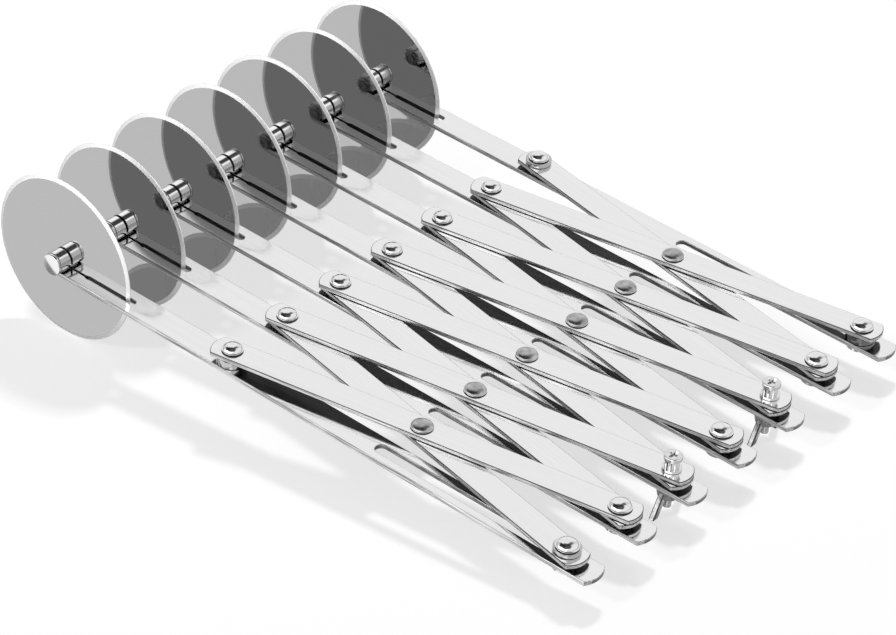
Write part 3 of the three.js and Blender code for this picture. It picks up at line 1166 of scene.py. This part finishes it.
@dataclass(frozen=True)
class EndRings:
    """The spacers and washers where only one link meets a pin."""

    spacer_diameter: float = 9.4
    washer_diameter: float = 8.3
    hole_diameter: float = 3.9
    rounding: float = 0.18
    steps: int = 48

    def build(self, shop: Workshop) -> None:
        """Makes and dresses the four rings.

        Args:
            shop: Carries the rings into the frame.
        """
        layers = shop.layers
        low = (layers.play, layers.lower_link + layers.link)
        high = (layers.upper_link, layers.upper_link + layers.link)
        front = shop.linkage.front_pin
        rear = shop.linkage.rear_pin
        spacer = self.spacer_diameter
        washer = self.washer_diameter
        for node, body, place, diameter, heights, finish in (
            ("front_spacer_1", "bar_1", front(1), spacer, low, TURNED_RING),
            ("front_washer_7", "bar_7", front(BAR_COUNT), washer, high, TURNED_RING),
            ("rear_washer_1", "lower_1", rear(1), washer, high, TURNED_RING),
            # The last rear spacer sits in the shade of the stack and takes the dark painted shade.
            ("rear_spacer_7", "upper_6", rear(BAR_COUNT), spacer, low, SHADED_RING),
        ):
            bench = self.ring(diameter, *heights)
            shop.deliver(bench, f"{node}_ring", place, body, node, (finish,))

    def ring(self, diameter: float, bottom: float, top: float) -> Bench:
        """Turns one ring.

        Args:
            diameter: Outer diameter.
            bottom: Height of its underside.
            top: Height of its upper face.

        Returns:
            A bench with the ring.
        """
        hole = self.hole_diameter
        profile = [(hole, bottom), (diameter, bottom), (diameter, top), (hole, top), (hole, bottom)]
        bench = Bench.turned(profile, self.steps)
        bench.soften(self.rounding, segments=3, over_degrees=50)
        return bench


@dataclass(frozen=True)
class ClampScrews:
    """The two screws with a cross recess, a neck, a captive washer and a threaded tail."""

    shank_diameter: float = 3.6
    core_diameter: float = 2.9
    thread_pitch: float = 0.7
    thread_width: float = 0.65
    thread_bite: float = 0.05
    tail: float = 8.0
    point_diameter: float = 2.6
    point_length: float = 3.2
    collar_diameter: float = 6.4
    washer_diameter: float = 6.0
    washer_height: float = 0.8
    neck_diameter: float = 4.0
    neck_height: float = 2.8
    ridge: float = 0.2
    ridge_steps: int = 4
    head_diameter: float = 5.6
    head_height: float = 1.4
    crown: float = 0.5
    crown_steps: int = 4
    recess_span: float = 3.6
    recess_width: float = 0.9
    recess_depth: float = 1.0
    recess_taper: float = 0.5
    rounding: float = 0.12
    steps: int = 48

    def build(self, shop: Workshop) -> None:
        """Makes and dresses both screws.

        Args:
            shop: Carries the screws into the frame.
        """
        for number in CLAMP_BARS:
            bench = self.screw(shop.layers)
            shop.deliver(bench, f"screw_{number}", shop.linkage.rear_pin(number), rear_pin_body(number),
                         f"clamp_screw_{number}", (SCREW_STEEL, PRESSED_NUT_AND_SHADE))

    def screw(self, layers: Layers) -> Bench:
        """Turns one screw, sinks its recess and winds its thread.

        Args:
            layers: Heights of the layers that it clamps.

        Returns:
            A bench with the screw.
        """
        end = -layers.bar - self.tail
        point_top = end + self.point_length
        washer_top = layers.head + self.washer_height
        neck_top = washer_top + self.neck_height
        head_top = neck_top + self.head_height
        profile = [
            (0, end),
            (self.point_diameter, end),
            (self.point_diameter, point_top),
            (self.core_diameter, point_top),
            (self.core_diameter, -layers.bar),
            (self.shank_diameter, -layers.bar),
            *shoulder(self.shank_diameter, self.collar_diameter, layers),
            (self.shank_diameter, layers.head),
            (self.washer_diameter, layers.head),
            (self.washer_diameter, washer_top),
            (self.neck_diameter, washer_top),
            (self.neck_diameter, neck_top),
            (self.head_diameter, neck_top),
            *self.round_crown(head_top),
        ]
        bench = Bench.turned(profile, self.steps)
        self.ridge_neck(bench, washer_top, neck_top)
        bench.soften(self.rounding, segments=2, over_degrees=50)
        self.sink_recess(bench, head_top)
        self.wind_thread(bench, point_top, -layers.bar)
        bench.tidy()
        # The tail under the bar takes the darker nut grey as painted shade of the bar.
        bench.paint(lambda face: Face.EDGE if face.calc_center_median().z < -layers.bar else Face.BROAD)
        return bench

    def round_crown(self, top: float) -> list[Point]:
        """Draws the profile of the rounded upper edge of the head.

        Args:
            top: Height of the top of the head.

        Returns:
            The corners, from the side of the head to its top.
        """
        flat = self.head_diameter - 2 * self.crown
        angles = [step * math.pi / 2 / self.crown_steps for step in range(self.crown_steps + 1)]
        return [
            (flat + 2 * self.crown * math.cos(angle), top - self.crown + self.crown * math.sin(angle))
            for angle in angles
        ]

    def ridge_neck(self, bench: Bench, low: float, high: float) -> None:
        """Raises upright ridges on the neck.

        Args:
            bench: The bench with the turned screw.
            low: Lower end of the neck.
            high: Upper end of the neck.
        """
        neck = self.neck_diameter / 2
        for vert in bench.bm.verts:
            on_radius = abs(vert.co.xy.length - neck) < NECK_GAP
            on_neck = on_radius and low - NECK_GAP < vert.co.z < high + NECK_GAP
            step = round(math.atan2(vert.co.y, vert.co.x) / FULL_TURN * self.steps)
            if on_neck and step % self.ridge_steps == 0:
                vert.co.xy *= 1 + self.ridge / neck

    def sink_recess(self, bench: Bench, top: float) -> None:
        """Closes the top of the head with a cross recess.

        Args:
            bench: The bench with the turned screw, open at the top.
            top: Height of the top of the head.
        """
        rim = [edge for edge in bench.bm.edges if edge.is_boundary]
        arm = self.recess_span / 2
        side = self.recess_width / 2
        quarter = [Vector((arm, -side, top)), Vector((arm, side, top)), Vector((side, side, top))]
        turns = [Matrix.Rotation(step * math.pi / 2, 4, "Z") for step in range(4)]
        cross = bench.chain(turn @ corner for turn in turns for corner in quarter)
        bench.bm.edges.new((cross[-1], cross[0]))
        loop = [edge for edge in bench.bm.edges if edge.is_wire]
        bench.fill(rim + loop)
        sunk = bmesh.ops.extrude_edge_only(bench.bm, edges=loop)["geom"]
        floor = [item for item in sunk if isinstance(item, BMVert)]
        taper = Matrix.Diagonal((self.recess_taper, self.recess_taper, 1, 1))
        sink = Matrix.Translation((0, 0, -self.recess_depth)) @ taper
        bmesh.ops.transform(bench.bm, matrix=sink, verts=floor)
        bench.fill([item for item in sunk if isinstance(item, BMEdge) and item.is_boundary])

    def wind_thread(self, bench: Bench, low: float, high: float) -> None:
        """Winds one ridge of thread about the core.

        Args:
            bench: The bench with the turned screw.
            low: Lower end of the thread.
            high: Height that the thread stays below.
        """
        steps_per_turn = self.steps // 2
        turns = int((high - low) / self.thread_pitch) - 1
        root = self.core_diameter / 2 - self.thread_bite
        crest = self.shank_diameter / 2
        width = self.thread_width
        ridge = bench.chain([(root, 0, low), (crest, 0, low + width / 2), (root, 0, low + width)])
        face = bench.bm.faces.new(ridge)
        spin(
            bench.bm,
            [face, *face.edges, *face.verts],
            centre=(0, 0, 0),
            axis=(0, 0, 1),
            angle=FULL_TURN * turns,
            steps=steps_per_turn * turns,
            climb=self.thread_pitch / steps_per_turn,
        )


@dataclass(frozen=True)
class WingNuts:
    """The two wing nuts that hang under the bars."""

    base_diameter: float = 8.0
    top_diameter: float = 6.4
    body_height: float = 4.0
    bore: float = 3.9
    wing_drop: float = 9.4
    wing_root_drop: float = 0.8
    wing_inner: float = 2.4
    wing_outer: float = 7.4
    tip_width: float = 2.4
    thickness: float = 1.8
    rounding: float = 0.35
    body_rounding: float = 0.25
    steps: int = 48

    def build(self, shop: Workshop) -> None:
        """Makes and dresses both nuts.

        Args:
            shop: Carries the nuts into the frame.
        """
        hang = Matrix.Translation((0, 0, shop.layers.foot))
        for number in CLAMP_BARS:
            place = shop.linkage.rear_pin(number) @ hang
            shop.deliver(self.nut(), f"nut_with_wings_{number}", place, f"nut_{number}",
                         f"wing_nut_{number}", (PRESSED_NUT_AND_SHADE, PAINTED_SHADE_CORNER))

    def nut(self) -> Bench:
        """Joins the turned body and the two wings.

        Returns:
            A bench with the nut.
        """
        bore = self.bore
        low = -self.body_height
        profile = [(bore, low), (self.top_diameter, low), (self.base_diameter, 0), (bore, 0), (bore, low)]
        bench = Bench.turned(profile, self.steps)
        bench.soften(self.body_rounding, segments=3, over_degrees=50)
        for half_turn in (0, math.pi):
            bench.unite(self.wing().move(Matrix.Rotation(half_turn, 4, "Z")))
        bench.paint(self.face_kind)
        return bench

    def face_kind(self, face: BMFace) -> Face:
        """Tells the rounded outlines of the wings, which take the dark painted shade, from the rest.

        Args:
            face: A face of the nut.

        Returns:
            The kind of the outlines or of the rest.
        """
        centre = face.calc_center_median()
        on_wing = centre.z < -self.body_height or abs(centre.x) > self.base_diameter / 2
        is_rounded = EDGE_SLOPE < abs(face.normal.y) < FLAT_SLOPE
        return Face.EDGE if on_wing and is_rounded else Face.BROAD

    def wing(self) -> Bench:
        """Cuts one wing, towards high X.

        Returns:
            A bench with the wing.
        """
        tip_inner = self.wing_outer - self.tip_width
        lean = (tip_inner - self.wing_inner) / (self.wing_drop - self.body_height)
        root_outer = self.wing_outer - lean * (self.wing_drop - self.wing_root_drop)
        bench = Bench()
        outline = Outline(bench, (self.wing_inner, -self.wing_root_drop))
        outline.line_to(
            (self.wing_inner, -self.body_height),
            (tip_inner, -self.wing_drop),
            (self.wing_outer, -self.wing_drop),
            (root_outer, -self.wing_root_drop),
        )
        outline.close()
        bench.thicken(self.thickness)
        bench.soften(self.rounding, segments=3, over_degrees=40)
        upright = Matrix.Rotation(math.pi / 2, 4, "X") @ Matrix.Translation((0, 0, self.thickness / 2))
        return bench.move(upright)


# Studio


@dataclass(frozen=True)
class Lamp:
    """A square softbox that points at the cutter, in metres and watts."""

    name: str
    place: tuple[float, float, float]
    size: float
    power: float

    def build(self) -> None:
        """Hangs the lamp."""
        light = bpy.data.lights.new(self.name, "AREA")
        light.shape = "SQUARE"
        light.size = self.size
        light.energy = self.power
        lamp = bpy.data.objects.new(self.name, light)
        lamp.location = self.place
        lamp.rotation_mode = "QUATERNION"
        lamp.rotation_quaternion = Vector(self.place).to_track_quat("Z", "Y")
        lamp.visible_glossy = False
        bpy.context.scene.collection.objects.link(lamp)


@dataclass(frozen=True)
class Viewpoint:
    """The camera, at the photograph's angle."""

    azimuth: float = -50.734
    elevation: float = 33.811
    roll: float = 1.007
    target: tuple[float, float, float] = (-0.012089, -0.012386, 0.02)
    distance: float = 1.05723
    focal_pixels: float = 3523.97
    sensor_width: float = 36.0
    clip_start: float = 0.01

    def build(self) -> None:
        """Sets up the camera."""
        turn = math.radians(self.azimuth)
        tilt = math.radians(self.elevation)
        away = math.cos(tilt)
        back = Vector((math.sin(turn) * away, -math.cos(turn) * away, math.sin(tilt)))
        right = Vector((0, 0, 1)).cross(back).normalized()
        level = Matrix((right, back.cross(right), back)).transposed().to_4x4()
        camera = bpy.data.cameras.new("camera")
        camera.sensor_width = self.sensor_width
        camera.lens = self.focal_pixels * self.sensor_width / PHOTO_WIDTH
        camera.clip_start = self.clip_start
        holder = bpy.data.objects.new("camera", camera)
        place = Matrix.Translation(Vector(self.target) + back * self.distance)
        holder.matrix_world = place @ level @ Matrix.Rotation(math.radians(self.roll), 4, "Z")
        bpy.context.scene.collection.objects.link(holder)
        bpy.context.scene.camera = holder


@dataclass(frozen=True)
class DarkBand:
    """A dark band on the walls of the room, from overhead down to one end, where it fades."""

    end: Vector
    side: Vector
    shift: float
    edges: Point
    depth: float = 1.0
    end_edges: Point = (-0.05, 0.1)
    fade_edges: Point = (0.6, 0.8)
    faded_share: float = 0.38

    def shade(
        self, sheet: NodeSheet, direction: bpy.types.NodeSocket, blur: bpy.types.NodeSocket
    ) -> bpy.types.NodeSocket:
        """Works out how dark the band is.

        Args:
            sheet: The nodes of the world.
            direction: The way that a ray leaves.
            blur: Unevenness of the band's edges.

        Returns:
            A value from nothing to the band's depth.
        """
        off_middle = sheet.math("ADD", sheet.facing(direction, self.side), self.shift)
        aside = sheet.math("ADD", sheet.math("ABSOLUTE", off_middle), blur)
        to_end = sheet.facing(direction, self.end)
        along = sheet.ramp(to_end, *self.end_edges, 0.0, self.depth)
        faded = sheet.ramp(to_end, *self.fade_edges, 1.0, self.faded_share)
        band = sheet.math("MULTIPLY", sheet.ramp(aside, *self.edges, 1.0, 0.0), along)
        return sheet.math("MULTIPLY", band, faded)


@dataclass(frozen=True)
class Studio:
    """A plain pale floor in a white room, with a bright window to the left and a dark ceiling."""

    floor_half: float = 4.0
    floor_grey: float = 0.92
    seen_share: float = 0.6
    seen_glow: float = 1.16
    mirrored_grey: float = 0.4
    mirrored_roughness: float = 0.03
    mirrored_glow: float = 0.25
    room_light: float = 0.27
    lamps: tuple[Lamp, ...] = (
        Lamp("key_softbox", (0.55, 0.3, 1.0), 0.14, 8.5),
        Lamp("left_softbox", (-1.1, 0.4, 1.0), 0.2, 5.5),
    )
    wall_grey: float = 1.25
    window: Vector = Vector((-0.755, 0.2, 0.625))
    window_edges: Point = (0.6, 0.8)
    window_grey: float = 2.9
    ceiling: Vector = Vector((-0.2, 0.0, 0.98))
    ceiling_edges: Point = (0.79, 0.87)
    ceiling_grey: float = 0.14
    band_grey: float = 0.04
    beam: DarkBand = DarkBand(
        end=Vector((0.05, 0.999, 0.0)), side=Vector((0.987, -0.05, 0.156)), shift=0.12, edges=(0.28, 0.4)
    )
    post: DarkBand = DarkBand(
        end=Vector((1.0, 0.0, 0.0)), side=Vector((0.0, 1.0, 0.0)), shift=0.0, edges=(0.1, 0.2), depth=0.75
    )
    clutter: float = 0.2
    clutter_scale: float = 2.5
    clutter_detail: float = 1.0

    def build(self) -> None:
        """Sets up the floor, the room, the lamps and the camera."""
        bpy.context.scene.view_settings.view_transform = "Standard"
        self.lay_floor()
        self.light_room()
        for lamp in self.lamps:
            lamp.build()
        Viewpoint().build()

    def lay_floor(self) -> None:
        """Lays the floor, with some white of its own to the camera and a glossy top in reflections."""
        bm = bmesh.new()
        bmesh.ops.create_grid(bm, x_segments=1, y_segments=1, size=self.floor_half)
        mesh = bpy.data.meshes.new("floor")
        bm.to_mesh(mesh)
        bm.free()
        material = bpy.data.materials.new("pale_floor")
        sheet = NodeSheet(material)
        paths = sheet.add("LightPath").outputs
        share = sheet.math("MULTIPLY", paths["Is Camera Ray"], self.seen_share)
        grey = (self.floor_grey, self.floor_grey, self.floor_grey, 1)
        matt = sheet.add("BsdfDiffuse", {"Color": grey})
        glow = sheet.add("Emission", {"Strength": self.seen_glow})
        seen = sheet.add("MixShader")
        sheet.link((share, matt.outputs[0], glow.outputs[0]), seen.inputs)
        shine_grey = (self.mirrored_grey, self.mirrored_grey, self.mirrored_grey, 1)
        shine = sheet.add("BsdfGlossy", {"Color": shine_grey, "Roughness": self.mirrored_roughness})
        haze = sheet.add("Emission", {"Strength": self.mirrored_glow})
        mirrored = sheet.add("AddShader")
        sheet.link((shine.outputs[0], haze.outputs[0]), mirrored.inputs)
        mix = sheet.add("MixShader")
        sheet.link((paths["Is Glossy Ray"], seen.outputs[0], mirrored.outputs[0]), mix.inputs)
        sheet.add("OutputMaterial", {"Surface": mix.outputs[0]})
        mesh.materials.append(material)
        floor = bpy.data.objects.new("floor", mesh)
        bpy.context.scene.collection.objects.link(floor)

    def light_room(self) -> None:
        """Surrounds the cutter with an even light, white to the camera and furnished in reflections."""
        world = bpy.data.worlds.new("studio")
        bpy.context.scene.world = world
        sheet = NodeSheet(world)
        paths = sheet.add("LightPath").outputs
        direction = sheet.add("TexCoord").outputs["Generated"]
        noise = sheet.noise(direction, self.clutter_scale, self.clutter_detail)
        blur = sheet.math("MULTIPLY_ADD", noise, self.clutter, -self.clutter / 2)
        to_window = sheet.facing(direction, self.window)
        walls = sheet.ramp(to_window, *self.window_edges, self.wall_grey, self.window_grey)
        above = sheet.math("ADD", sheet.facing(direction, self.ceiling), blur)
        room = sheet.ramp(above, *self.ceiling_edges, walls, self.ceiling_grey)
        for band in (self.beam, self.post):
            room = sheet.choose(band.shade(sheet, direction, blur), room, self.band_grey)
        shown = sheet.choose(paths["Is Glossy Ray"], self.room_light, room)
        strength = sheet.choose(paths["Is Camera Ray"], shown, 1.0)
        back = sheet.add("Background", {"Strength": strength})
        sheet.add("OutputWorld", {"Surface": back.outputs[0]})


def main() -> None:
    """Builds the cutter, sub-assembly by sub-assembly, and its studio."""
    logging.basicConfig(level=logging.INFO, format="%(name)s %(message)s")
    shop = Workshop(Linkage.from_joints(frame["joints"]), Layers())
    linkage_parts = (WheelBars(), LinkStrips(), Rivets(), EndRings())
    wheel_parts = (CuttingWheels(), WheelAxles())
    clamp_parts = (ClampScrews(), WingNuts())
    for assembly in (*linkage_parts, *wheel_parts, *clamp_parts):
        assembly.build(shop)
    Studio().build()


if __name__ == "__main__":
    main()
